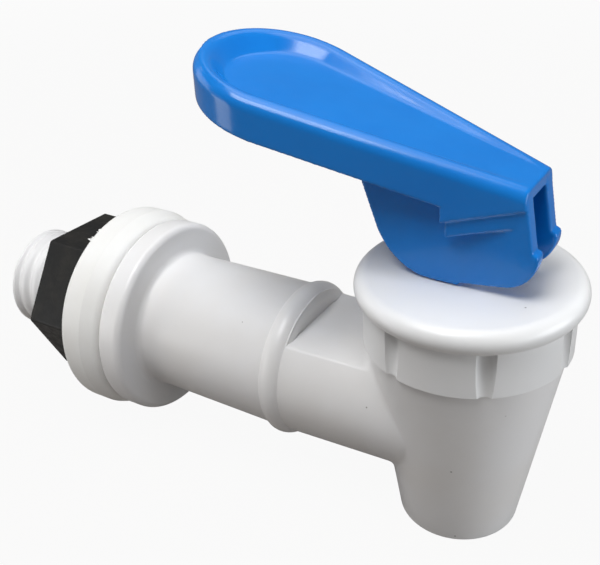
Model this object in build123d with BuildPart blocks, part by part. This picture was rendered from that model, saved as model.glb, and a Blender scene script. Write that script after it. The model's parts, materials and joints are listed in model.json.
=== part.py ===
from build123d import *
import math
import os

# Push-lever tap for a drinks or water dispenser, in millimetres.
# +X runs out of the dispenser's wall along the stud axis, +Z is up, and the
# origin is on the stud axis where the sealing washer meets the wall.

os.makedirs("parts", exist_ok=True)

# Wall fixing: threaded stud, flange, sealing washer and back nut
STUD_R = 8.0
STUD_LENGTH = 18.7
STUD_CHAMFER = 1.2
INLET_R = 5.6
INLET_DEPTH = 21.0
WATERWAY_R = 5.0
WASHER_R = 15.6
WASHER_EDGE_R = 14.7
WASHER_T = 6.8
WASHER_ROUND = 1.2
WASHER_BACK_ROUND = 1.4
WASHER_LAND = 4.0
WASHER_CLEARANCE = 0.15
FLANGE_R = 14.85
FLANGE_T = 3.9
FLANGE_ROUND = 1.0
FLANGE_BACK_ROUND = 0.8
NUT_FLATS = 22.0
NUT_T = 9.0
NUT_TURN = -4.0
NUT_ROUND = 0.6
NUT_CLEARANCE = 0.1

# Tube from the flange to the valve barrel
TUBE_R_FLANGE = 10.3
TUBE_R_BEAD = 10.6
TUBE_R_BARREL = 9.95
TUBE_FILLET = 0.9
BARREL_FILLET = 1.4
BEAD_X = 33.7
BEAD_R = 11.3
BEAD_ROUND = 1.9
FLAT_Z = 7.1
FLAT_START = 1.7
FLAT_ROUND = 0.8

# Valve barrel and spout, turned about the valve axis
VALVE_X = 58.0
BARREL_R = 12.65
SPOUT_R = 8.05
SPOUT_DROP = 16.6
SPOUT_ROUND = 0.5
SHOULDER_Z = 11.1
NECK_R = 11.2
CHAMBER_WALL = 2.0
CHAMBER_FLOOR_R = 7.4
SEAT_Z = -5.8
SEAT_LIP = 0.8
SEAT_LIP_W = 1.0
SEAT_WEB = 1.6
ORIFICE_R = 4.6
OUTLET_R = 5.9

# Screw-on bonnet that closes the barrel
BONNET_TOP = 20.65
BONNET_R = 14.4
RIM_ROUND = 1.65
LID_T = 3.0
SKIRT_R = 13.25
SKIRT_GAP = 0.15
BONNET_CLEARANCE = 0.1
FLUTE_COUNT = 7
FLUTE_TURN = -58.8
FLUTE_R = 1.2
FLUTE_DEPTH = 1.4
FLUTE_FOOT_DEPTH = 0.4

# Stem, spring and rubber seat cup
STEM_R = 1.8
STEM_CLEARANCE = 0.08
STEM_HEAD_R = 2.5
STEM_HEAD_W = 1.95
STEM_DISC_R = 4.9
STEM_DISC_T = 1.0
KNOB_R = 2.8
KNOB_T = 1.3
KNOB_NECK = 0.8
TRUNNION_R = 1.6
TRUNNION_DEPTH = 1.3
CUP_FLANGE_T = 1.2
CUP_GAP = 0.1
CUP_TOP_R = 7.7
CUP_PLUG_R = 6.4
CUP_PLUG_T = 3.3
CUP_WALL = 0.9
SPRING_R = 3.6
SPRING_WIRE_R = 0.35
SPRING_WIRE_SIDES = 8
SPRING_TURNS = 6
SPRING_GAP = 0.12

# Lever: a dished thumb paddle on two cam cheeks
PIVOT_Z = 26.8
CAM_GAP = 0.15
CAM_LIFT_PER_RAD = 3.6
CAM_END_DEG = 70.0
CAM_STEPS = 7
CHEEK_OUT = 4.2
CHEEK_T = 2.0
PADDLE_TILT = 14.5
PADDLE_FRONT_X = 7.6
PADDLE_FRONT_Z = 34.6
PADDLE_FRONT_W = 4.45
PADDLE_END_R = 11.5
PADDLE_END_U = 34.3
PADDLE_DEPTH = 5.2
PADDLE_ROUND = 1.5
DISH_DROP = 2.3
DISH_INSET = 3.4
DISH_SLOPE_DEG = 40.0
LEVER_WALL = 1.8
LEVER_SKIN = 1.7
TOE_X = 4.95
TOE_Z = -0.35
TOE_R = 4.5
TOE_LIP = 0.7
HEEL_RISE_DEG = 8.5
FLANK_X = -1.7
FLANK_Z = 29.75
FLANK_STEP = 2.0
FLANK_INSET = 0.45
FLANK_RISE_DEG = 15.5

# Places worked out from the sizes above
FLANGE_FRONT = WASHER_T + FLANGE_T
SPOUT_Z = -SPOUT_DROP
LID_UNDER = BONNET_TOP - LID_T
NECK_TOP = LID_UNDER - CUP_FLANGE_T - 2 * CUP_GAP
CHAMBER_FLOOR = SEAT_Z - SEAT_LIP
CHAMBER_TOP_R = NECK_R - CHAMBER_WALL
PLUG_TOP = SEAT_Z + CUP_PLUG_T
DISC_BOTTOM = PLUG_TOP + CUP_GAP
DISC_TOP = DISC_BOTTOM + STEM_DISC_T
CHEEK_IN = CHEEK_OUT - CHEEK_T
CAM_DEPTH = PIVOT_Z - BONNET_TOP - CAM_GAP
CAM_END = math.radians(CAM_END_DEG)
DOWN = (0, 0, -1)
VALVE_AXIS = Axis((VALVE_X, 0, 0), (0, 0, 1))
VALVE_PLANE = Plane((VALVE_X, 0, 0), x_dir=(1, 0, 0), z_dir=(0, -1, 0))
PIVOT_PLANE = Plane((VALVE_X, 0, PIVOT_Z), x_dir=(1, 0, 0), z_dir=(0, -1, 0))


def save(piece, name):
    """Label a finished piece and write its STEP file."""
    piece.label = name
    export_step(piece, f"parts/{name}.step")


def along_flat(edge):
    """True for a long edge of the flat on top of the tube."""
    box = edge.bounding_box()
    return abs(box.min.Z - FLAT_Z) < 1e-4 and box.size.X > box.size.Y + box.size.Z


def on_barrel(edge):
    """True for a piece of the curve where the tube's skin runs into the barrel's cone."""
    slope = (BARREL_R - SPOUT_R) / (SHOULDER_Z - SPOUT_Z)
    for share in (0.25, 0.75):
        point = edge.position_at(share)
        cone_r = SPOUT_R + slope * (point.Z - SPOUT_Z)
        if abs(math.hypot(point.X - VALVE_X, point.Y) - cone_r) > 1e-3:
            return False
    return not edge.is_closed and edge.geom_type != GeomType.LINE


# Body: stud, flange, tube, barrel and spout moulded as one piece
with BuildPart() as body:
    with BuildSketch(Plane.XZ):
        with BuildLine():
            Polyline(
                (-STUD_LENGTH, 0),
                (-STUD_LENGTH, STUD_R - STUD_CHAMFER),
                (-STUD_LENGTH + STUD_CHAMFER, STUD_R),
                (WASHER_T, STUD_R),
                (WASHER_T, FLANGE_R),
                (FLANGE_FRONT, FLANGE_R),
                (FLANGE_FRONT, TUBE_R_FLANGE),
                (BEAD_X, TUBE_R_BEAD),
                (VALVE_X, TUBE_R_BARREL),
                (VALVE_X, 0),
                close=True,
            )
        make_face()
    revolve(axis=Axis.X)
    rims = body.edges().filter_by(GeomType.CIRCLE)
    flange_rim = rims.filter_by(lambda e: abs(e.radius - FLANGE_R) < 1e-4)
    tube_root = rims.filter_by(lambda e: abs(e.radius - TUBE_R_FLANGE) < 1e-4)
    fillet(flange_rim.sort_by(Axis.X)[:1], FLANGE_BACK_ROUND)
    fillet(flange_rim.sort_by(Axis.X)[-1:], FLANGE_ROUND)
    fillet(tube_root, TUBE_FILLET)
    # Flat along the top of the tube between the bead and the barrel
    flat_length = VALVE_X - BEAD_X - FLAT_START
    with Locations((VALVE_X - flat_length / 2, 0, FLAT_Z)):
        Box(
            flat_length,
            2 * TUBE_R_BEAD,
            TUBE_R_BEAD,
            align=(Align.CENTER, Align.CENTER, Align.MIN),
            mode=Mode.SUBTRACT,
        )
    fillet(body.edges(Select.LAST).filter_by(along_flat), FLAT_ROUND)
    # Round bead at the end of the flat
    with BuildSketch(Plane.XZ):
        with Locations((BEAD_X, BEAD_R - BEAD_ROUND)):
            Circle(BEAD_ROUND)
    revolve(axis=Axis.X)
    # Conical barrel, shoulder and neck
    with BuildSketch(VALVE_PLANE):
        with BuildLine():
            Polyline(
                (0, SPOUT_Z),
                (SPOUT_R, SPOUT_Z),
                (BARREL_R, SHOULDER_Z),
                (NECK_R, SHOULDER_Z),
                (NECK_R, NECK_TOP),
                (0, NECK_TOP),
                close=True,
            )
        make_face()
    revolve(axis=VALVE_AXIS)
    fillet(body.edges(Select.LAST).filter_by(on_barrel), BARREL_FILLET)
    # Valve chamber with the raised seat left standing on its floor
    with BuildSketch(VALVE_PLANE):
        with BuildLine():
            Polyline(
                (0, SEAT_Z),
                (ORIFICE_R + SEAT_LIP_W, SEAT_Z),
                (ORIFICE_R + SEAT_LIP_W, CHAMBER_FLOOR),
                (CHAMBER_FLOOR_R, CHAMBER_FLOOR),
                (CHAMBER_TOP_R, NECK_TOP),
                (0, NECK_TOP),
                close=True,
            )
        make_face()
    revolve(axis=VALVE_AXIS, mode=Mode.SUBTRACT)
    # Seat orifice and the wider outlet below it
    with BuildSketch(VALVE_PLANE):
        with BuildLine():
            Polyline(
                (0, SPOUT_Z),
                (OUTLET_R, SPOUT_Z),
                (OUTLET_R, CHAMBER_FLOOR - SEAT_WEB),
                (ORIFICE_R, CHAMBER_FLOOR - SEAT_WEB),
                (ORIFICE_R, SEAT_Z),
                (0, SEAT_Z),
                close=True,
            )
        make_face()
    revolve(axis=VALVE_AXIS, mode=Mode.SUBTRACT)
    # Inlet socket in the stud and the waterway on to the chamber
    with BuildSketch(Plane.XZ):
        with BuildLine():
            Polyline(
                (-STUD_LENGTH, 0),
                (-STUD_LENGTH, INLET_R),
                (INLET_DEPTH - STUD_LENGTH, INLET_R),
                (INLET_DEPTH - STUD_LENGTH, WATERWAY_R),
                (VALVE_X, WATERWAY_R),
                (VALVE_X, 0),
                close=True,
            )
        make_face()
    revolve(axis=Axis.X, mode=Mode.SUBTRACT)
    mouth = body.edges().filter_by(GeomType.CIRCLE).group_by(Axis.Z)[0]
    fillet(mouth.sort_by(SortBy.RADIUS)[-1:], SPOUT_ROUND)
save(body.part, "body")

# Sealing washer between the flange and the dispenser's wall
with BuildPart() as wall_washer:
    with BuildSketch(Plane.XZ):
        with BuildLine():
            Polyline(
                (0, STUD_R + WASHER_CLEARANCE),
                (0, WASHER_R),
                (WASHER_LAND, WASHER_R),
                (WASHER_T, WASHER_EDGE_R),
                (WASHER_T, STUD_R + WASHER_CLEARANCE),
                close=True,
            )
        make_face()
    revolve(axis=Axis.X)
    outer = wall_washer.edges().filter_by(GeomType.CIRCLE).group_by(Axis.X)
    fillet(outer[0].sort_by(SortBy.RADIUS)[-1:], WASHER_ROUND)
    fillet(outer[-1].sort_by(SortBy.RADIUS)[-1:], WASHER_BACK_ROUND)
save(wall_washer.part, "wall_washer")

# Hexagonal back nut
with BuildPart() as wall_nut:
    with BuildSketch(Plane.YZ):
        RegularPolygon(NUT_FLATS / 2, 6, major_radius=False, rotation=NUT_TURN)
        Circle(STUD_R + NUT_CLEARANCE, mode=Mode.SUBTRACT)
    extrude(amount=-NUT_T)
    fillet(wall_nut.edges().filter_by(Axis.X), NUT_ROUND)
save(wall_nut.part, "wall_nut")

# Bonnet: a round disc with an overhanging rim on a fluted skirt
with BuildPart() as bonnet:
    hole_r = STEM_R + STEM_CLEARANCE
    bore_r = NECK_R + BONNET_CLEARANCE
    skirt_foot = SHOULDER_Z + SKIRT_GAP
    rim_under = BONNET_TOP - 2 * RIM_ROUND
    skirt_h = rim_under - skirt_foot
    rim_r = BONNET_R - RIM_ROUND
    with BuildSketch(Plane((VALVE_X, 0, skirt_foot))):
        Circle(SKIRT_R)
        Circle(bore_r, mode=Mode.SUBTRACT)
    extrude(amount=skirt_h)
    # Round grip flutes down the skirt, deepest under the rim
    flute_lean = math.degrees(math.atan((FLUTE_DEPTH - FLUTE_FOOT_DEPTH) / skirt_h))
    flute_x = SKIRT_R + FLUTE_R - (FLUTE_DEPTH + FLUTE_FOOT_DEPTH) / 2
    with Locations((VALVE_X, 0, skirt_foot + skirt_h / 2)):
        with PolarLocations(flute_x, FLUTE_COUNT, start_angle=FLUTE_TURN):
            Cylinder(FLUTE_R, 2 * skirt_h, rotation=(0, -flute_lean, 0), mode=Mode.SUBTRACT)
    with BuildSketch(VALVE_PLANE):
        with BuildLine():
            Line((hole_r, BONNET_TOP), (rim_r, BONNET_TOP))
            ThreePointArc(
                (rim_r, BONNET_TOP),
                (BONNET_R, BONNET_TOP - RIM_ROUND),
                (rim_r, rim_under),
            )
            Polyline(
                (rim_r, rim_under),
                (bore_r, rim_under),
                (bore_r, LID_UNDER),
                (hole_r, LID_UNDER),
                (hole_r, BONNET_TOP),
            )
        make_face()
    revolve(axis=VALVE_AXIS)
save(bonnet.part, "bonnet")

# Rubber seat cup: flange clamped under the lid, thin wall, plug on the seat
with BuildPart() as seat_cup:
    cup_flange_z = NECK_TOP + CUP_GAP
    with BuildSketch(VALVE_PLANE):
        with BuildLine():
            Polyline(
                (0, SEAT_Z),
                (CUP_PLUG_R, SEAT_Z),
                (CUP_PLUG_R, PLUG_TOP),
                (CUP_TOP_R, cup_flange_z),
                (NECK_R, cup_flange_z),
                (NECK_R, cup_flange_z + CUP_FLANGE_T),
                (CUP_TOP_R - CUP_WALL, cup_flange_z + CUP_FLANGE_T),
                (CUP_PLUG_R - CUP_WALL, PLUG_TOP),
                (STEM_R + CUP_GAP, PLUG_TOP),
                (STEM_R + CUP_GAP, PLUG_TOP - KNOB_NECK),
                (KNOB_R + CUP_GAP, PLUG_TOP - KNOB_NECK),
                (KNOB_R + CUP_GAP, PLUG_TOP - KNOB_NECK - KNOB_T),
                (0, PLUG_TOP - KNOB_NECK - KNOB_T),
                close=True,
            )
        make_face()
    revolve(axis=VALVE_AXIS)
save(seat_cup.part, "seat_cup")

# Stem: knob in the cup, disc under the spring, rod, and cross trunnions
with BuildPart() as stem:
    knob_top = PLUG_TOP - KNOB_NECK - CUP_GAP
    knob_bottom = PLUG_TOP - KNOB_NECK - KNOB_T + CUP_GAP
    with BuildSketch(VALVE_PLANE):
        with BuildLine():
            Polyline(
                (0, knob_bottom),
                (KNOB_R, knob_bottom),
                (KNOB_R, knob_top),
                (STEM_R, knob_top),
                (STEM_R, DISC_BOTTOM),
                (STEM_DISC_R, DISC_BOTTOM),
                (STEM_DISC_R, DISC_TOP),
                (STEM_R, DISC_TOP),
                (STEM_R, PIVOT_Z),
                (0, PIVOT_Z),
                close=True,
            )
        make_face()
    revolve(axis=VALVE_AXIS)
    with BuildSketch(PIVOT_PLANE):
        Circle(STEM_HEAD_R)
    extrude(amount=STEM_HEAD_W, both=True)
    with BuildSketch(PIVOT_PLANE):
        Circle(TRUNNION_R)
    extrude(amount=CHEEK_IN + TRUNNION_DEPTH, both=True)
save(stem.part, "stem")

# Steel return spring between the stem's disc and the lid, in tilted half turns
with BuildPart() as spring:
    spring_low = DISC_TOP + SPRING_GAP + SPRING_WIRE_R
    spring_high = LID_UNDER - SPRING_GAP - SPRING_WIRE_R
    half_rise = (spring_high - spring_low) / (2 * SPRING_TURNS)
    for half in range(2 * SPRING_TURNS):
        side = 1 if half % 2 == 0 else -1
        start_z = spring_low + half * half_rise
        with BuildSketch(VALVE_PLANE):
            with Locations((side * SPRING_R, start_z)):
                RegularPolygon(SPRING_WIRE_R, SPRING_WIRE_SIDES)
        centre = (VALVE_X, 0, start_z + half_rise / 2)
        revolve(axis=Axis(centre, (side * half_rise / 2, 0, SPRING_R)), revolution_arc=180)
save(spring.part, "spring")

# Lever frame: u runs from the front edge back along the paddle's rim
tilt = math.radians(PADDLE_TILT)
dish_tilt = tilt - math.atan(DISH_DROP / (PADDLE_END_U + PADDLE_END_R))
paddle_front = (VALVE_X + PADDLE_FRONT_X, 0, PADDLE_FRONT_Z)
paddle_up = Vector(math.sin(tilt), 0, math.cos(tilt))
rim_plane = Plane(paddle_front, x_dir=(-math.cos(tilt), 0, math.sin(tilt)), z_dir=paddle_up)
dish_plane = Plane(
    paddle_front,
    x_dir=(-math.cos(dish_tilt), 0, math.sin(dish_tilt)),
    z_dir=(math.sin(dish_tilt), 0, math.cos(dish_tilt)),
)


def paddle_outline(plane, inset, front_u=0.0):
    """Teardrop plan: straight sides from the narrow front, tangent to the round end."""
    end_r = PADDLE_END_R - inset
    front_w = PADDLE_FRONT_W - inset
    reach = math.hypot(PADDLE_END_U, front_w)
    turn = math.atan2(front_w, -PADDLE_END_U) - math.acos(end_r / reach)
    touch_u = PADDLE_END_U + end_r * math.cos(turn)
    touch_w = end_r * math.sin(turn)
    start_w = front_w + (touch_w - front_w) / touch_u * front_u
    with BuildSketch(plane) as plan:
        with BuildLine():
            Polyline(
                (touch_u, -touch_w),
                (front_u, -start_w),
                (front_u, start_w),
                (touch_u, touch_w),
            )
            ThreePointArc(
                (touch_u, touch_w),
                (PADDLE_END_U + end_r, 0),
                (touch_u, -touch_w),
            )
        make_face()
    return plan.sketch


def cam_point(turn_deg):
    """Cam edge whose depth below the pivot grows evenly as the lever is pressed."""
    turn = math.radians(turn_deg)
    depth = CAM_DEPTH + CAM_LIFT_PER_RAD * turn
    x = -depth * math.sin(turn) - CAM_LIFT_PER_RAD * math.cos(turn)
    z = -depth * math.cos(turn) + CAM_LIFT_PER_RAD * math.sin(turn)
    return (x, z)


def cheek_profile(plane):
    """Side plate: cam edge behind the pivot, clear of the bonnet and round-toed in front."""
    cam = [cam_point(CAM_END_DEG * i / CAM_STEPS) for i in range(CAM_STEPS + 1)]
    rise = math.radians(HEEL_RISE_DEG)
    top_rise = math.tan(dish_tilt)
    front_top = PADDLE_FRONT_Z - PIVOT_Z - LEVER_SKIN / 2
    lean = 1 / math.tan(CAM_END)
    back_reach = PADDLE_FRONT_X - cam[-1][0] - lean * cam[-1][1]
    back_top = (front_top + back_reach * top_rise) / (1 - lean * top_rise)
    back_x = cam[-1][0] - lean * (back_top - cam[-1][1])
    toe_foot = (TOE_X + TOE_R * math.sin(rise), TOE_Z - TOE_R * math.cos(rise))
    toe_side = math.radians(HEEL_RISE_DEG - 45)
    toe_mid = (TOE_X + TOE_R * math.cos(toe_side), TOE_Z + TOE_R * math.sin(toe_side))
    toe_tip = (TOE_X + TOE_R, TOE_Z)
    lip_x = TOE_X + TOE_R - TOE_LIP
    lip_top = (lip_x, TOE_Z + TOE_LIP)
    lip_mid = (lip_x + TOE_LIP * math.sqrt(0.5), TOE_Z + TOE_LIP * math.sqrt(0.5))
    heel_z = toe_foot[1] - toe_foot[0] * math.tan(rise)
    with BuildSketch(plane) as cheek:
        with BuildLine():
            Line((0, -CAM_DEPTH), cam[0])
            Spline(*cam, tangents=((-1, 0), (-math.cos(CAM_END), math.sin(CAM_END))))
            Polyline(
                cam[-1],
                (back_x, back_top),
                (PADDLE_FRONT_X, front_top),
                lip_top,
            )
            ThreePointArc(lip_top, lip_mid, toe_tip)
            ThreePointArc(toe_tip, toe_mid, toe_foot)
            Polyline(toe_foot, (0, heel_z), (0, -CAM_DEPTH))
        make_face()
    return cheek.sketch


def flank_front(foot_z, start_x):
    """Height that a flank's rising foot reaches at the paddle's front edge."""
    return foot_z + (PADDLE_FRONT_X - start_x) * math.tan(math.radians(FLANK_RISE_DEG))


def flank(foot_z, start_x, inset):
    """Thickening outside both cheeks, its foot rising towards the front."""
    flank_top = PADDLE_FRONT_Z - PADDLE_ROUND
    with BuildPart() as block:
        extrude(paddle_outline(rim_plane, inset), amount=PADDLE_FRONT_Z, dir=DOWN)
        with BuildSketch(VALVE_PLANE):
            with BuildLine():
                Polyline(
                    (start_x, foot_z),
                    (PADDLE_FRONT_X, flank_front(foot_z, start_x)),
                    (PADDLE_FRONT_X, flank_top),
                    (start_x, flank_top),
                    close=True,
                )
            make_face()
        extrude(amount=PADDLE_END_R, both=True, mode=Mode.INTERSECT)
        with Locations((VALVE_X, 0, flank_top)):
            Box(4 * PADDLE_FRONT_X, CHEEK_IN + CHEEK_OUT, 4 * CHEEK_OUT, mode=Mode.SUBTRACT)
    return block.part


# Lever: paddle with a dished top and a hollow underside, on two cheeks
with BuildPart() as lever:
    extrude(paddle_outline(rim_plane, 0), amount=PADDLE_DEPTH, dir=DOWN)
    rim_face = lever.faces().filter_by(lambda f: f.normal_at().dot(paddle_up) > 0.99)[0]
    fillet(rim_face.edges().sort_by(Axis.X)[:-1], PADDLE_ROUND)
    # Dished top, level with the rim at the front and deepest at the round end
    extrude(
        paddle_outline(dish_plane, DISH_INSET, front_u=-PADDLE_ROUND),
        amount=2 * DISH_DROP,
        taper=-DISH_SLOPE_DEG,
        mode=Mode.SUBTRACT,
    )
    # Hollow underside, open at the front between the cheeks
    extrude(
        paddle_outline(dish_plane.offset(-LEVER_SKIN), LEVER_WALL, front_u=-PADDLE_DEPTH),
        amount=2 * PADDLE_DEPTH,
        dir=DOWN,
        mode=Mode.SUBTRACT,
    )
    # Side walls end above the flanks towards the front
    with BuildSketch(VALVE_PLANE):
        with BuildLine():
            Polyline(
                (FLANK_X, FLANK_Z),
                (PADDLE_FRONT_X, flank_front(FLANK_Z, FLANK_X)),
                (PADDLE_FRONT_X, FLANK_Z - PADDLE_DEPTH),
                (FLANK_X, FLANK_Z - PADDLE_DEPTH),
                close=True,
            )
        make_face()
    extrude(amount=PADDLE_END_R, both=True, mode=Mode.SUBTRACT)
    for side in (1, -1):
        extrude(cheek_profile(PIVOT_PLANE.offset(side * CHEEK_IN)), amount=side * CHEEK_T)
    add(flank(FLANK_Z, FLANK_X, 0))
    add(flank(FLANK_Z - FLANK_STEP, FLANK_X + FLANK_INSET, FLANK_INSET))
    # Blind sockets that the stem's trunnions snap into
    with BuildSketch(PIVOT_PLANE):
        Circle(TRUNNION_R + STEM_CLEARANCE)
    extrude(amount=CHEEK_IN + TRUNNION_DEPTH + STEM_CLEARANCE, both=True, mode=Mode.SUBTRACT)
save(lever.part, "lever")
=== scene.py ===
# %% [markdown]
# # A dispenser tap, dressed for its picture
# The shapes come from the CAD model, which is loaded here as a fixed frame in metres.
# Everything that follows adds finishes, moulded roundings and a thread to that frame,
# so each step starts by asking what the real piece looks like close up.

# %% Load the frame
import json
import math

import bmesh
import bpy
import numpy as np
from mathutils import Matrix, Vector

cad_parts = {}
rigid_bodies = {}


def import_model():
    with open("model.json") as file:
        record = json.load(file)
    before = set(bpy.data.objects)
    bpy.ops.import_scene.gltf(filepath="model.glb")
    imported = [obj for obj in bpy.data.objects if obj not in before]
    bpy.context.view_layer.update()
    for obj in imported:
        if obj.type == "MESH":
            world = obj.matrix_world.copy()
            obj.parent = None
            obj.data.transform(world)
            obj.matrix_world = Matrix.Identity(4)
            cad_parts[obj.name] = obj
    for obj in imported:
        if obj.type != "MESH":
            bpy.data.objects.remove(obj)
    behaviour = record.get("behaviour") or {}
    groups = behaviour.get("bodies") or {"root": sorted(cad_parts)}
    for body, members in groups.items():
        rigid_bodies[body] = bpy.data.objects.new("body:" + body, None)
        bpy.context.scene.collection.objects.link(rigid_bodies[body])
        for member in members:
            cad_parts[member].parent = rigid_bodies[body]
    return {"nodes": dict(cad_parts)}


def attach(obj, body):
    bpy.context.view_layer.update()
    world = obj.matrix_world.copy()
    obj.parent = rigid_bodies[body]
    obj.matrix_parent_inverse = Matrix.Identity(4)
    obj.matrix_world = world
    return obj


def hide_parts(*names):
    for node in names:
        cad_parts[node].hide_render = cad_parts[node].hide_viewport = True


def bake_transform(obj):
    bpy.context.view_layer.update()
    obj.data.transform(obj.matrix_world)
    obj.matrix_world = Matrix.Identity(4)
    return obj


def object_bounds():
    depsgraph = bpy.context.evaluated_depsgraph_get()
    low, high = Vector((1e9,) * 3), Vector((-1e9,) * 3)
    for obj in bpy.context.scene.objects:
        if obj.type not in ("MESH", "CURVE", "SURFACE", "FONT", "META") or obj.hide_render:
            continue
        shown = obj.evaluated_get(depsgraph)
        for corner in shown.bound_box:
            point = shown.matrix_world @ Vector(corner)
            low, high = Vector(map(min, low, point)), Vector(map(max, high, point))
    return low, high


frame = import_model()
cad_low, cad_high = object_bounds()
nodes = frame["nodes"]
MM = 0.001
print("CAD nodes:", sorted(nodes))

# %% [markdown]
# ## Camera
# The tap was photographed from above its spout, a little to the right, with a slight roll.
# Blender's camera looks down its own -Z, so the pose is written as three axes (right, up and
# back) and a place. That is easier to fit to a picture than three Euler angles.

# %% Camera
CAMERA_PLACE = Vector((95.34, -96.86, 80.13)) * MM
CAMERA_AZIMUTH = 32.73
CAMERA_ELEVATION = 30.49
CAMERA_ROLL = -2.78
CAMERA_LENS = 57.75
CAMERA_SENSOR = 36.0
CAMERA_CLIP = (0.005, 10.0)

azimuth = math.radians(CAMERA_AZIMUTH)
elevation = math.radians(CAMERA_ELEVATION)
roll = math.radians(CAMERA_ROLL)
back = Vector((
    math.sin(azimuth) * math.cos(elevation),
    -math.cos(azimuth) * math.cos(elevation),
    math.sin(elevation),
))
level_right = Vector((math.cos(azimuth), math.sin(azimuth), 0.0))
level_up = back.cross(level_right)
right = level_right * math.cos(roll) + level_up * math.sin(roll)
up = level_up * math.cos(roll) - level_right * math.sin(roll)

camera_data = bpy.data.cameras.new("camera")
camera_data.sensor_width = CAMERA_SENSOR
camera_data.lens = CAMERA_LENS
camera_data.clip_start, camera_data.clip_end = CAMERA_CLIP
camera = bpy.data.objects.new("camera", camera_data)
camera_turn = Matrix((right, up, back)).transposed().to_4x4()
camera.matrix_world = Matrix.Translation(CAMERA_PLACE) @ camera_turn
bpy.context.scene.collection.objects.link(camera)
bpy.context.scene.camera = camera
print("camera", round(CAMERA_PLACE.length / MM), "mm from the origin")

# %% [markdown]
# ## Shader expressions
# A finish is a small sum of noise, masks and colours. Writing each node by hand hides that sum,
# so one class wraps a socket: plus, minus, times and less-than add the Math nodes, and one
# method makes any other kind of node.


# %% Shader expressions
class Shade:
    """A socket in a node tree that takes part in Python arithmetic."""

    def __init__(self, tree, socket=None):
        self.tree = tree
        self.socket = socket

    def node(self, kind, settings=None, sockets=None, out=0):
        """Make a node: its settings first, then a value or a link for each named socket."""
        made = self.tree.nodes.new(kind)
        for name, value in (settings or {}).items():
            setattr(made, name, value)
        for name, value in (sockets or {}).items():
            if isinstance(value, Shade):
                self.tree.links.new(value.socket, made.inputs[name])
            else:
                made.inputs[name].default_value = value
        return Shade(self.tree, made.outputs[out])

    def math(self, operation, first, second):
        """Make a Math node of two expressions or numbers."""
        return self.node("ShaderNodeMath", {"operation": operation}, {0: first, 1: second})

    def __add__(self, other):
        return self.math("ADD", self, other)

    __radd__ = __add__

    def __sub__(self, other):
        return self.math("SUBTRACT", self, other)

    def __rsub__(self, other):
        return self.math("SUBTRACT", other, self)

    def __mul__(self, other):
        return self.math("MULTIPLY", self, other)

    __rmul__ = __mul__

    def __lt__(self, other):
        return self.math("LESS_THAN", self, other)


print("shader expressions ready")

# %% [markdown]
# ## Finish helpers
# Every finish reads Object coordinates. The pieces sit at the origin in metres, so a noise of
# scale 1000 has features about one millimetre across. Noise rarely leaves the MIDDLE of its range,
# so that band is stretched before it is used as a mask. Colours are linear, not as on a screen.


# %% Finish helpers
MIDDLE = (0.3, 0.7)


def noise(shade, coords, per_metre, detail=2.0, roughness=0.5):
    """Soft noise whose features are about 1 / per_metre metres across."""
    return shade.node(
        "ShaderNodeTexNoise",
        None,
        {"Vector": coords, "Scale": per_metre, "Detail": detail, "Roughness": roughness},
    )


def spread(shade, value, band, to=(0.0, 1.0)):
    """Stretch a band of a value smoothly to another band, held outside it."""
    return shade.node(
        "ShaderNodeMapRange",
        {"interpolation_type": "SMOOTHSTEP"},
        {"Value": value, "From Min": band[0], "From Max": band[1], "To Min": to[0], "To Max": to[1]},
    )


def tint(shade, factor, first, second):
    """Mix two colours by a value from 0 to 1."""
    return shade.node(
        "ShaderNodeMix",
        {"data_type": "RGBA", "clamp_factor": True},
        {0: factor, 6: first, 7: second},
        out=2,
    )


def bump(shade, height, millimetres, below=None):
    """Bump of a given depth from a height between 0 and 1, over any bump below it."""
    sockets = {"Height": height, "Strength": 1.0, "Distance": millimetres * MM}
    if below is not None:
        sockets["Normal"] = below
    return shade.node("ShaderNodeBump", None, sockets)


def specks(shade, coords, per_metre, size, share):
    """Mask of round specks: the middles of a cell pattern, size in cells, in a share of the cells."""
    settings = {"feature": "F1"}
    sockets = {"Vector": coords, "Scale": per_metre}
    distance = shade.node("ShaderNodeTexVoronoi", settings, sockets, out="Distance")
    chance = shade.node("ShaderNodeTexVoronoi", settings, sockets, out="Color")
    chance = shade.node("ShaderNodeSeparateColor", None, {"Color": chance}, out="Red")
    return spread(shade, distance, (0.5 * size, size), to=(1.0, 0.0)) * (chance < share)


def finish(name, **constants):
    """Start a finish: a Principled shader with its constant sockets set, and its coordinates."""
    material = bpy.data.materials.new(name)
    material.use_nodes = True
    tree = material.node_tree
    shader = tree.nodes["Principled BSDF"]
    for socket, value in constants.items():
        shader.inputs[socket.replace("_", " ")].default_value = value
    shade = Shade(tree)
    coords = shade.node("ShaderNodeTexCoord", None, None, out="Object")
    return material, shader, shade, coords


def feed(shader, shade, **links):
    """Link expressions to the shader's own sockets."""
    for socket, value in links.items():
        shade.tree.links.new(value.socket, shader.inputs[socket.replace("_", " ")])


def dress(piece, material):
    """Give a piece one finish all over."""
    piece.data.materials.clear()
    piece.data.materials.append(material)


print("finish helpers ready")

# %% [markdown]
# ## White moulded plastic
# The body and the bonnet are satin white polypropylene. Close up, such plastic is never one flat
# white: it drifts a little warmer in soft patches, and it has a fine mould grain, shallow sink
# marks and a few dark specks of burnt granules.


# %% White moulded plastic
BODY_WHITE = (0.80, 0.80, 0.805, 1.0)
BODY_WARM = (0.775, 0.765, 0.755, 1.0)
BODY_ROUGHNESS = 0.31
BODY_SPECKS = 0.16
BONNET_WHITE = (0.81, 0.815, 0.82, 1.0)
BONNET_WARM = (0.79, 0.79, 0.785, 1.0)
BONNET_ROUGHNESS = 0.31
BONNET_SPECKS = 0.03
BURNT = (0.10, 0.09, 0.08, 1.0)
BURNT_STRENGTH = 0.75
GLOSSIER = 0.03
DULLER = 0.04


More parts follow.
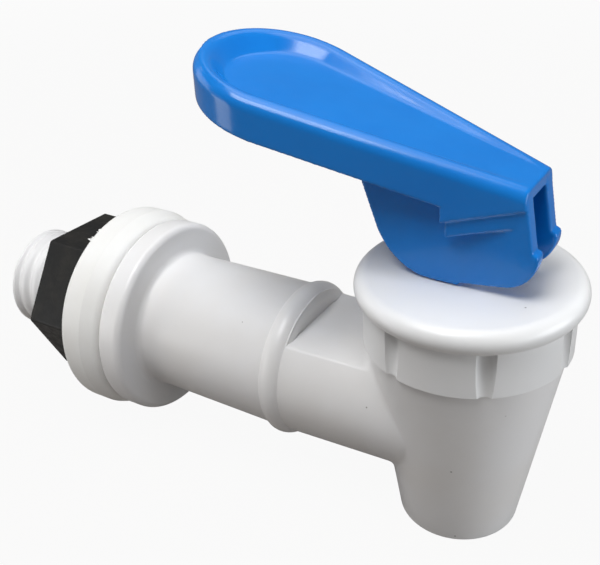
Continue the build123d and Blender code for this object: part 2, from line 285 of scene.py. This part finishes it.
def white_plastic(name, white, warm, speck_share, roughness):
    """Satin white plastic with a faint warm mottle, sink marks, grain and a few dark specks."""
    material, shader, shade, coords = finish(name, IOR=1.49)
    mottle = spread(shade, noise(shade, coords, per_metre=70.0, detail=3.0), (0.35, 0.7))
    dots = specks(shade, coords, per_metre=330.0, size=0.055, share=speck_share)
    colour = tint(shade, dots * BURNT_STRENGTH, tint(shade, mottle, white, warm), BURNT)
    patches = noise(shade, coords, per_metre=420.0, detail=3.0)
    rough = spread(shade, patches, (0.3, 0.75), to=(roughness - GLOSSIER, roughness + DULLER))
    sink = bump(shade, noise(shade, coords, per_metre=160.0), millimetres=0.014)
    grain = bump(shade, noise(shade, coords, per_metre=5200.0), millimetres=0.004, below=sink)
    feed(shader, shade, Base_Color=colour, Roughness=rough, Normal=grain)
    return material


body_white = white_plastic("white_plastic", BODY_WHITE, BODY_WARM, BODY_SPECKS, BODY_ROUGHNESS)
bonnet_white = white_plastic(
    "bonnet_plastic", BONNET_WHITE, BONNET_WARM, BONNET_SPECKS, BONNET_ROUGHNESS
)
dress(nodes["body"], body_white)
dress(nodes["bonnet"], bonnet_white)
print("finishes:", body_white.name, bonnet_white.name)

# %% [markdown]
# ## Rubber washer and black nut
# The sealing washer is soft white silicone, a touch yellower and duller than the body, with a
# little dust on it. The back nut is black plastic with a dry skin that scatters light, and it is
# browner where it is scuffed.

# %% Rubber washer and black nut
WASHER_WHITE = (0.83, 0.83, 0.815, 1.0)
WASHER_YELLOW = (0.79, 0.785, 0.76, 1.0)
DUST = (0.30, 0.28, 0.25, 1.0)
DUST_STRENGTH = 0.6
NUT_BLACK = (0.007, 0.007, 0.007, 1.0)
NUT_BROWN = (0.017, 0.0155, 0.013, 1.0)

washer_white, shader, shade, coords = finish("white_rubber", IOR=1.43)
patch = spread(shade, noise(shade, coords, per_metre=110.0, detail=3.0), (0.35, 0.7))
dust = specks(shade, coords, per_metre=420.0, size=0.05, share=0.10)
colour = tint(shade, dust * DUST_STRENGTH, tint(shade, patch, WASHER_WHITE, WASHER_YELLOW), DUST)
rough = spread(shade, noise(shade, coords, per_metre=300.0, detail=3.0), MIDDLE, to=(0.45, 0.58))
ripple = bump(shade, noise(shade, coords, per_metre=240.0), millimetres=0.05)
skin = bump(shade, noise(shade, coords, per_metre=4000.0), millimetres=0.006, below=ripple)
feed(shader, shade, Base_Color=colour, Roughness=rough, Normal=skin)
dress(nodes["wall_washer"], washer_white)

nut_black, shader, shade, coords = finish("black_plastic", IOR=1.45, Specular_IOR_Level=0.35)
scuff = spread(shade, noise(shade, coords, per_metre=260.0, detail=4.0, roughness=0.6), (0.4, 0.75))
colour = tint(shade, scuff, NUT_BLACK, NUT_BROWN)
rough = spread(shade, noise(shade, coords, per_metre=900.0, detail=3.0), MIDDLE, to=(0.42, 0.58))
skin = bump(shade, noise(shade, coords, per_metre=3000.0, detail=3.0), millimetres=0.02)
feed(shader, shade, Base_Color=colour, Roughness=rough, Normal=skin)
dress(nodes["wall_nut"], nut_black)
print("finishes:", washer_white.name, nut_black.name)

# %% [markdown]
# ## Blue lever
# The lever is glossy pigmented plastic. Its colour is nearly even, so its look comes from smooth
# reflections off a slightly rough skin, with a faint flow mottle.

# %% Blue lever
LEVER_BLUE = (0.004, 0.172, 0.58, 1.0)
LEVER_PALER = (0.005, 0.190, 0.62, 1.0)

lever_blue, shader, shade, coords = finish("blue_plastic", IOR=1.48, Specular_IOR_Level=0.45)
flow = spread(shade, noise(shade, coords, per_metre=90.0, detail=3.0), MIDDLE)
colour = tint(shade, flow, LEVER_BLUE, LEVER_PALER)
rough = spread(shade, noise(shade, coords, per_metre=500.0, detail=3.0), MIDDLE, to=(0.15, 0.21))
ripple = bump(shade, noise(shade, coords, per_metre=110.0), millimetres=0.005)
feed(shader, shade, Base_Color=colour, Roughness=rough, Normal=ripple)
dress(nodes["lever"], lever_blue)
print("finish:", lever_blue.name)

# %% [markdown]
# ## Inside pieces
# The stem shows a little between the lever's cheeks, and the spring and the rubber seat cup only
# when the bonnet is off. They still get true finishes: natural acetal, drawn wire and milky
# silicone.

# %% Inside pieces
STEM_NATURAL = (0.78, 0.78, 0.75, 1.0)
STEM_PALER = (0.82, 0.82, 0.80, 1.0)
WIRE_DARK = (0.56, 0.56, 0.57, 1.0)
WIRE_BRIGHT = (0.66, 0.66, 0.65, 1.0)
CUP_MILKY = (0.76, 0.75, 0.70, 1.0)
CUP_PALER = (0.80, 0.79, 0.75, 1.0)

stem_white, shader, shade, coords = finish("stem_plastic", IOR=1.48)
colour = tint(shade, noise(shade, coords, per_metre=300.0), STEM_NATURAL, STEM_PALER)
rough = spread(shade, noise(shade, coords, per_metre=900.0), MIDDLE, to=(0.38, 0.50))
skin = bump(shade, noise(shade, coords, per_metre=4000.0), millimetres=0.004)
feed(shader, shade, Base_Color=colour, Roughness=rough, Normal=skin)
dress(nodes["stem"], stem_white)

spring_wire, shader, shade, coords = finish("spring_steel", Metallic=1.0)
colour = tint(shade, noise(shade, coords, per_metre=700.0), WIRE_DARK, WIRE_BRIGHT)
rough = spread(shade, noise(shade, coords, per_metre=2500.0), MIDDLE, to=(0.22, 0.36))
feed(shader, shade, Base_Color=colour, Roughness=rough)
dress(nodes["spring"], spring_wire)

cup_rubber, shader, shade, coords = finish("seat_rubber", IOR=1.41)
colour = tint(shade, noise(shade, coords, per_metre=200.0), CUP_MILKY, CUP_PALER)
rough = spread(shade, noise(shade, coords, per_metre=700.0), MIDDLE, to=(0.42, 0.56))
feed(shader, shade, Base_Color=colour, Roughness=rough)
dress(nodes["seat_cup"], cup_rubber)
print("finishes:", stem_white.name, spring_wire.name, cup_rubber.name)

# %% [markdown]
# ## Mesh helpers
# A CAD node arrives as loose triangles. A copy of it is merged into one skin first, as arrays of
# points and faces, so that numpy can cut, move and extend it before it becomes a mesh again.


# %% Mesh helpers
SAME_CORNER = 1e-7
SHARP_DEGREES = 40.0


def merged(mesh):
    """Points and triangles of a mesh with its loose triangles joined at shared corners."""
    work = bmesh.new()
    work.from_mesh(mesh)
    bmesh.ops.remove_doubles(work, verts=work.verts, dist=SAME_CORNER)
    joined = bpy.data.meshes.new("joined")
    work.to_mesh(joined)
    work.free()
    points = np.empty(3 * len(joined.vertices))
    joined.vertices.foreach_get("co", points)
    corners = np.empty(3 * len(joined.polygons), dtype=np.int64)
    joined.loops.foreach_get("vertex_index", corners)
    bpy.data.meshes.remove(joined)
    return points.reshape(-1, 3), corners.reshape(-1, 3)


def grid_faces(rows, columns, closed):
    """Quads of a rows x columns grid of points, joined round the columns where closed."""
    steps = columns if closed else columns - 1
    row = np.arange(rows - 1)[:, None] * columns
    first = (row + np.arange(steps)).ravel()
    second = (row + (np.arange(steps) + 1) % columns).ravel()
    return np.stack([first, second, second + columns, first + columns], axis=-1)


def smooth(mesh):
    """Shade every face of a mesh smooth."""
    mesh.polygons.foreach_set("use_smooth", np.ones(len(mesh.polygons), dtype=bool))
    mesh.update()


def mesh_piece(name, points, *face_sets, sharp_degrees=SHARP_DEGREES):
    """Put points and sets of faces into a new object at the origin, smooth up to an edge angle."""
    mesh = bpy.data.meshes.new(name)
    mesh.from_pydata(points.tolist(), [], sum((faces.tolist() for faces in face_sets), []))
    smooth(mesh)
    mesh.set_sharp_from_angle(angle=math.radians(sharp_degrees))
    piece = bpy.data.objects.new(name, mesh)
    bpy.context.scene.collection.objects.link(piece)
    return piece


print("mesh helpers ready")

# %% [markdown]
# ## Threaded stud
# The white stud behind the nut carries a coarse rounded thread. The CAD body keeps a plain stud at
# the crest of that thread, so here the stud's wall is taken out of a copy of the body and a helical
# wall is set in its place. The wall's columns stand on the CAD rings at both ends, which closes
# the seams.

# %% Threaded stud
STUD_R = 8.0 * MM
STUD_START = -17.5 * MM
STUD_END = 6.8 * MM
THREAD_END = -8.2 * MM
THREAD_PITCH = 2.35 * MM
THREAD_DEPTH = 0.55 * MM
THREAD_FADE = 1.1 * MM
THREAD_CREST = 1.4
THREAD_ROWS = 96
THREAD_SHARP = 32.0
SAME = 0.01 * MM


def thread_wall(turns):
    """Helical wall: the radius drops below the stud's by a rounded groove of depth THREAD_DEPTH
    that moves one pitch along x for each turn, and fades to the plain stud at both ends. The
    power THREAD_CREST makes the crests wider than the grooves."""
    x = np.append(np.linspace(STUD_START, THREAD_END, THREAD_ROWS), STUD_END)[:, None]
    fade = np.clip(np.minimum(x - STUD_START, THREAD_END - x) / THREAD_FADE, 0.0, 1.0)
    fade = fade * fade * (3.0 - 2.0 * fade)
    groove = 0.5 - 0.5 * np.cos(2.0 * np.pi * x / THREAD_PITCH - turns[None, :])
    radius = STUD_R - THREAD_DEPTH * fade * groove**THREAD_CREST
    y = radius * np.cos(turns)
    z = radius * np.sin(turns)
    return np.stack([np.broadcast_to(x, y.shape), y, z], axis=-1)


points, faces = merged(nodes["body"].data)
along = points[:, 0]
on_wall = np.abs(np.hypot(points[:, 1], points[:, 2]) - STUD_R) < SAME
on_stud = on_wall & (along > STUD_START - SAME) & (along < STUD_END + SAME)
kept = faces[~on_stud[faces].all(axis=1)]
ring = points[on_stud & (np.abs(along - STUD_START) < SAME)]
turns = np.sort(np.arctan2(ring[:, 2], ring[:, 1]))
wall = thread_wall(turns)
wall_faces = grid_faces(*wall.shape[:2], closed=True) + len(points)
points = np.concatenate([points, wall.reshape(-1, 3)])
body = mesh_piece("tap_body", points, kept, wall_faces, sharp_degrees=THREAD_SHARP)
join = bmesh.new()
join.from_mesh(body.data)
bmesh.ops.remove_doubles(join, verts=join.verts, dist=SAME)
join.to_mesh(body.data)
join.free()
edge_of_corner = np.empty(len(body.data.loops), dtype=np.int64)
body.data.loops.foreach_get("edge_index", edge_of_corner)
open_edges = int(np.sum(np.bincount(edge_of_corner) != 2))
dress(body, body_white)
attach(body, "tap_body")
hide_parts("body")
print("threaded body:", len(body.data.polygons), "faces,", open_edges, "open edges")

# %% [markdown]
# ## Moulded lever
# A moulded lever has no sharp edge: the tool's corners are all eased, the rim rolls over into the
# dish and the dish runs out towards the front. The CAD lever has the true sizes with sharper
# edges. A fine remesh of it, on a grid that lies along the rim, is eased with numpy by averaging
# each point with its neighbours, and then the dish is set to a height formula whose crest is round.

# %% Moulded lever
LEVER_OCTREE = 8
EASE_ROUNDS = 4
VALVE_X = 58.0 * MM
RIM_TILT = math.radians(14.5)
RIM_FRONT_X = 7.6 * MM
RIM_FRONT_Z = 34.6 * MM
FRONT_HALF = 4.45 * MM
END_RADIUS = 11.5 * MM
END_ALONG = 34.3 * MM
RIM_ROUND = 1.5 * MM
DISH_DEPTH = 2.3 * MM
DISH_EDGE = 1.3 * MM
DISH_SLOPE = math.tan(math.radians(42.0))
CREST_WIDTH = 1.4 * MM
FLOOR_SOFT = 0.2 * MM
TOP_FACING = 0.25
TOP_BELOW = 0.8 * MM
TOP_INSET = 0.9 * MM
TOP_START = 0.4 * MM


def ease(points, edges, rounds):
    """Average every point with its neighbours: half its own place, half their mean, each round."""
    count = np.bincount(edges.ravel(), minlength=len(points))[:, None]
    for _ in range(rounds):
        total = np.stack(
            [
                np.bincount(edges[:, 0], points[edges[:, 1], k], len(points))
                + np.bincount(edges[:, 1], points[edges[:, 0], k], len(points))
                for k in range(3)
            ],
            axis=-1,
        )
        points = 0.5 * points + 0.5 * total / count
    return points


def rim_inset(along, across):
    """Distance inside the teardrop rim: to its straight sides before they touch the end circle,
    and to that circle beyond."""
    reach = math.hypot(END_ALONG, FRONT_HALF)
    turn = math.atan2(FRONT_HALF, -END_ALONG) - math.acos(END_RADIUS / reach)
    touch = np.array([END_ALONG + END_RADIUS * math.cos(turn), END_RADIUS * math.sin(turn)])
    normal = np.array([math.cos(turn), math.sin(turn)])
    side = (touch[0] - along) * normal[0] + (touch[1] - np.abs(across)) * normal[1]
    end = END_RADIUS - np.hypot(along - END_ALONG, across)
    beyond = (along - END_ALONG) * normal[1] - np.abs(across) * normal[0] > 0.0
    return np.where(beyond, end, side)


def soft_least(first, second, softness):
    """The lesser of two heights, rounded where they cross."""
    return 0.5 * (first + second - np.sqrt((first - second) ** 2 + softness**2))


def dish_height(along, inset):
    """Height under the rim plane: the rolled rim, then a parabola over the crest that runs into
    a straight slope, and a soft stop on a floor that gets deeper towards the round end."""
    over = np.clip(RIM_ROUND - inset, 0.0, RIM_ROUND)
    rolled = RIM_ROUND - np.sqrt(RIM_ROUND**2 - over**2)
    floor = DISH_DEPTH * np.clip(along, 0.0, None) / (END_ALONG + END_RADIUS)
    start = np.clip(inset - DISH_EDGE, 0.0, None)
    crest = np.minimum(start, CREST_WIDTH)
    slope = DISH_SLOPE * (0.5 * crest**2 / CREST_WIDTH + start - crest)
    return -rolled - np.clip(soft_least(slope, floor, FLOOR_SOFT), 0.0, None)


rim_front = np.array([VALVE_X + RIM_FRONT_X, 0.0, RIM_FRONT_Z])
rim_back = np.array([-math.cos(RIM_TILT), 0.0, math.sin(RIM_TILT)])
rim_up = np.array([math.sin(RIM_TILT), 0.0, math.cos(RIM_TILT)])
rim_axes = np.stack([-rim_back, [0.0, 1.0, 0.0], rim_up])
points, faces = merged(nodes["lever"].data)
lever = mesh_piece("lever_moulding", (points - rim_front) @ rim_axes.T, faces)
remesh = lever.modifiers.new("remesh", "REMESH")
remesh.mode = "SHARP"
remesh.octree_depth = LEVER_OCTREE
remesh.use_remove_disconnected = False
depsgraph = bpy.context.evaluated_depsgraph_get()
fine = bpy.data.meshes.new_from_object(lever.evaluated_get(depsgraph))
lever.modifiers.clear()
points = np.empty(3 * len(fine.vertices))
fine.vertices.foreach_get("co", points)
edges = np.empty(2 * len(fine.edges), dtype=np.int64)
fine.edges.foreach_get("vertices", edges)
points = ease(points.reshape(-1, 3), edges.reshape(-1, 2), EASE_ROUNDS) @ rim_axes + rim_front
normals = np.empty(3 * len(fine.vertices))
fine.vertices.foreach_set("co", points.ravel())
fine.update()
fine.vertices.foreach_get("normal", normals)

local = points - rim_front
along = local @ rim_back
height = local @ rim_up
inset = rim_inset(along, local[:, 1])
facing_up = normals.reshape(-1, 3) @ rim_up > TOP_FACING
within_dish = (height > -DISH_DEPTH - TOP_BELOW) & (inset > TOP_INSET) & (along > TOP_START)
on_top = facing_up & within_dish
points[on_top] += (dish_height(along, inset) - height)[on_top, None] * rim_up
fine.vertices.foreach_set("co", points.ravel())
smooth(fine)
lever.data = fine
dress(lever, lever_blue)
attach(lever, "lever")
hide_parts("lever")
print("lever:", len(fine.polygons), "faces,", int(on_top.sum()), "points on the dish")

# %% [markdown]
# ## Flash on the washer
# The moulded washer has a torn lip of flash on the edge that faces the wall, over the nut's top
# corner. It is a thin ragged fin: a strip along the washer's edge whose reach is a few added waves
# of different lengths, cut to nothing at both ends.

# %% Flash on the washer
FLASH_FROM = math.radians(93.0)
FLASH_TO = math.radians(122.0)
FLASH_ROOT_R = 14.35 * MM
FLASH_TIP_R = 14.75 * MM
FLASH_ROOT_X = 0.75 * MM
FLASH_REACH = 1.5 * MM
FLASH_THICK = 0.22 * MM
FLASH_TIP_SHARE = 0.4
FLASH_CURL = 0.25 * MM
FLASH_CURL_RATE = 31.0
FLASH_MEAN = 0.55
FLASH_LEAST = 0.10
FLASH_RISE = 4.0
FLASH_SIZES = np.array([0.30, 0.22, 0.16])
FLASH_RATES = np.array([23.0, 57.0, 111.0])
FLASH_STARTS = np.array([0.0, 1.0, 2.0])
FLASH_COLUMNS = 120
FLASH_PROFILE = 9


def flash_fin():
    """Fin round the x axis: each column is a thin rounded tongue that leaves the washer's edge
    towards -x by a ragged reach, a mean plus three waves of different rates along the fin."""
    turn = np.linspace(FLASH_FROM, FLASH_TO, FLASH_COLUMNS)
    run = np.linspace(0.0, 1.0, FLASH_COLUMNS)
    ragged = FLASH_MEAN + np.sin(run[:, None] * FLASH_RATES + FLASH_STARTS) @ FLASH_SIZES
    ends = np.clip(FLASH_RISE * np.minimum(run, 1.0 - run), 0.0, 1.0)
    reach = FLASH_REACH * np.clip(ragged, FLASH_LEAST, 1.0) * ends
    lap = np.linspace(0.0, 2.0 * np.pi, FLASH_PROFILE, endpoint=False)
    out = 0.5 - 0.5 * np.cos(lap)
    side = np.sin(lap) * (1.0 - (1.0 - FLASH_TIP_SHARE) * out)
    x = FLASH_ROOT_X - reach[:, None] * out
    lean = (FLASH_TIP_R - FLASH_ROOT_R) * out
    curl = FLASH_CURL * np.sin(FLASH_CURL_RATE * run)[:, None] * out
    radius = FLASH_ROOT_R + lean + curl + 0.5 * FLASH_THICK * side
    y = radius * np.cos(turn)[:, None]
    z = radius * np.sin(turn)[:, None]
    loop = np.arange(FLASH_PROFILE)
    caps = np.stack([loop[::-1], loop + (FLASH_COLUMNS - 1) * FLASH_PROFILE])
    quads = grid_faces(FLASH_COLUMNS, FLASH_PROFILE, closed=True)
    return np.stack([x, y, z], axis=-1).reshape(-1, 3), quads, caps


flash = mesh_piece("washer_flash", *flash_fin())
dress(flash, washer_white)
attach(flash, "tap_body")
print("flash:", len(flash.data.polygons), "faces")

# %% [markdown]
# ## Copies of the spring and seat cup
# As the valve lifts, it squeezes the spring against the bonnet and folds the cup's thin wall, while
# the cup's flange stays clamped under the bonnet. Here each is replaced by a merged copy with its
# finish, baked in place.


def giving_copy(name, node, material):
    """Merged copy of a CAD node with a finish, baked in place of the node, which is hidden."""
    piece = mesh_piece(name, *merged(nodes[node].data))
    dress(piece, material)
    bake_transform(piece)
    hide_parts(node)
    return piece


giving_copy("return_spring", "spring", spring_wire)
giving_copy("seat_cup_rubber", "seat_cup", cup_rubber)

# %% [markdown]
# ## Floor and background
# The picture has a bare white ground. The floor and the world both show white to the camera, and a
# share of that white to glossy rays, because all of it would lay a veil over the blue and the
# black. To every other ray the floor is a dull card, which keeps the undersides dark, and close to
# the tap a little of the card shows through the white, so the tap keeps a faint shadow.


# %% Floor and background
WHITE = (1.0, 1.0, 1.0, 1.0)
CARD_COLOUR = (0.22, 0.20, 0.185, 1.0)
FLOOR_Z = cad_low[2] - 0.1 * MM
FLOOR_SIZE = 1.6
FLOOR_STEPS = 8
SHADOW_SHARE = 0.06
SHADOW_REACH = (0.12, 0.55)
GLOSS_SHARE = 0.12
WORLD_LIGHT = 0.08


def shown_white(shade):
    """Mask of the rays that see the white background: from the camera, or off gloss and glass."""
    camera = shade.node("ShaderNodeLightPath", out="Is Camera Ray")
    glossy = shade.node("ShaderNodeLightPath", out="Is Glossy Ray")
    through = shade.node("ShaderNodeLightPath", out="Is Transmission Ray")
    return 1.0 - (1.0 - camera) * (1.0 - GLOSS_SHARE * glossy) * (1.0 - through)


def floor_sheet(size, height, steps):
    """Square grid: x and y run from -size / 2 to size / 2 in equal steps at one height."""
    line = np.linspace(-0.5 * size, 0.5 * size, steps + 1)
    x, y = np.meshgrid(line, line, indexing="ij")
    points = np.stack([x, y, np.full_like(x, height)], axis=-1).reshape(-1, 3)
    return points, grid_faces(steps + 1, steps + 1, closed=False)[:, ::-1]


floor = mesh_piece("floor", *floor_sheet(FLOOR_SIZE, FLOOR_Z, FLOOR_STEPS))
card, shader, shade, coords = finish(
    "pale_card", Base_Color=CARD_COLOUR, Roughness=0.9, Specular_IOR_Level=0.0
)
away = shade.node("ShaderNodeVectorMath", {"operation": "LENGTH"}, {0: coords}, out="Value")
near = spread(shade, away, SHADOW_REACH, to=(1.0, 0.0))
white = shade.node("ShaderNodeEmission", None, {"Color": WHITE, "Strength": 1.0})
whiteness = shown_white(shade) * (1.0 - SHADOW_SHARE * near)
dull = Shade(shade.tree, shader.outputs["BSDF"])
mixed = shade.node("ShaderNodeMixShader", None, {0: whiteness, 1: dull, 2: white})
shade.tree.links.new(mixed.socket, shade.tree.nodes["Material Output"].inputs["Surface"])
dress(floor, card)

world = bpy.data.worlds.new("studio")
bpy.context.scene.world = world
world.use_nodes = True
background = world.node_tree.nodes["Background"]
background.inputs["Color"].default_value = WHITE
level = shown_white(Shade(world.node_tree)) * (1.0 - WORLD_LIGHT) + WORLD_LIGHT
world.node_tree.links.new(level.socket, background.inputs["Strength"])
print("floor at", round(FLOOR_Z / MM, 2), "mm")

# %% [markdown]
# ## Lamps
# Every lamp is a square soft box. The window is the main light: it stands where the far slope of
# the dish mirrors it into the camera. No lamp stands where the dish's floor would mirror it, so
# that floor stays a clear blue. The rest only lift the sides and the ends of the tap.


# %% Lamps
TAP_MIDDLE = (30.0, 0.0, 12.0)
WASHER_MIDDLE = (4.0, 0.0, 0.0)
NEUTRAL = (1.0, 1.0, 1.0)
COOL = (0.94, 0.97, 1.0)


def lamp(name, place, width, power, colour=NEUTRAL, target=TAP_MIDDLE):
    """Square soft box: place, target and width in millimetres, power in watts."""
    data = bpy.data.lights.new(name, "AREA")
    data.shape = "SQUARE"
    data.size = width * MM
    data.energy = power
    data.color = colour
    box = bpy.data.objects.new(name, data)
    direction = Vector(target) - Vector(place)
    box.location = Vector(place) * MM
    box.rotation_euler = direction.to_track_quat("-Z", "Y").to_euler()
    bpy.context.scene.collection.objects.link(box)
    print("lamp", name, power, "W")


lamp("window", (18.0, -118.0, 292.0), width=160.0, power=0.63)
lamp("overhead", (30.0, 0.0, 320.0), width=200.0, power=0.31)
lamp("right_fill", (330.0, 70.0, 70.0), width=160.0, power=0.40, colour=COOL)
lamp("low_right", (335.0, -55.0, 25.0), width=160.0, power=0.20, colour=COOL)
lamp("left_fill", (-260.0, -40.0, 110.0), width=180.0, power=0.15)
lamp("low_left", (-200.0, -170.0, 10.0), width=160.0, power=0.04)
lamp("near_left", (-72.0, -88.0, -2.0), width=60.0, power=0.028, target=WASHER_MIDDLE)
lamp("back_fill", (0.0, 140.0, 285.0), width=200.0, power=0.16)

# %% [markdown]
# ## Picture settings
# Colours should render as they are written, so the view transform is Standard.

# %% Picture settings
bpy.context.scene.view_settings.view_transform = "Standard"
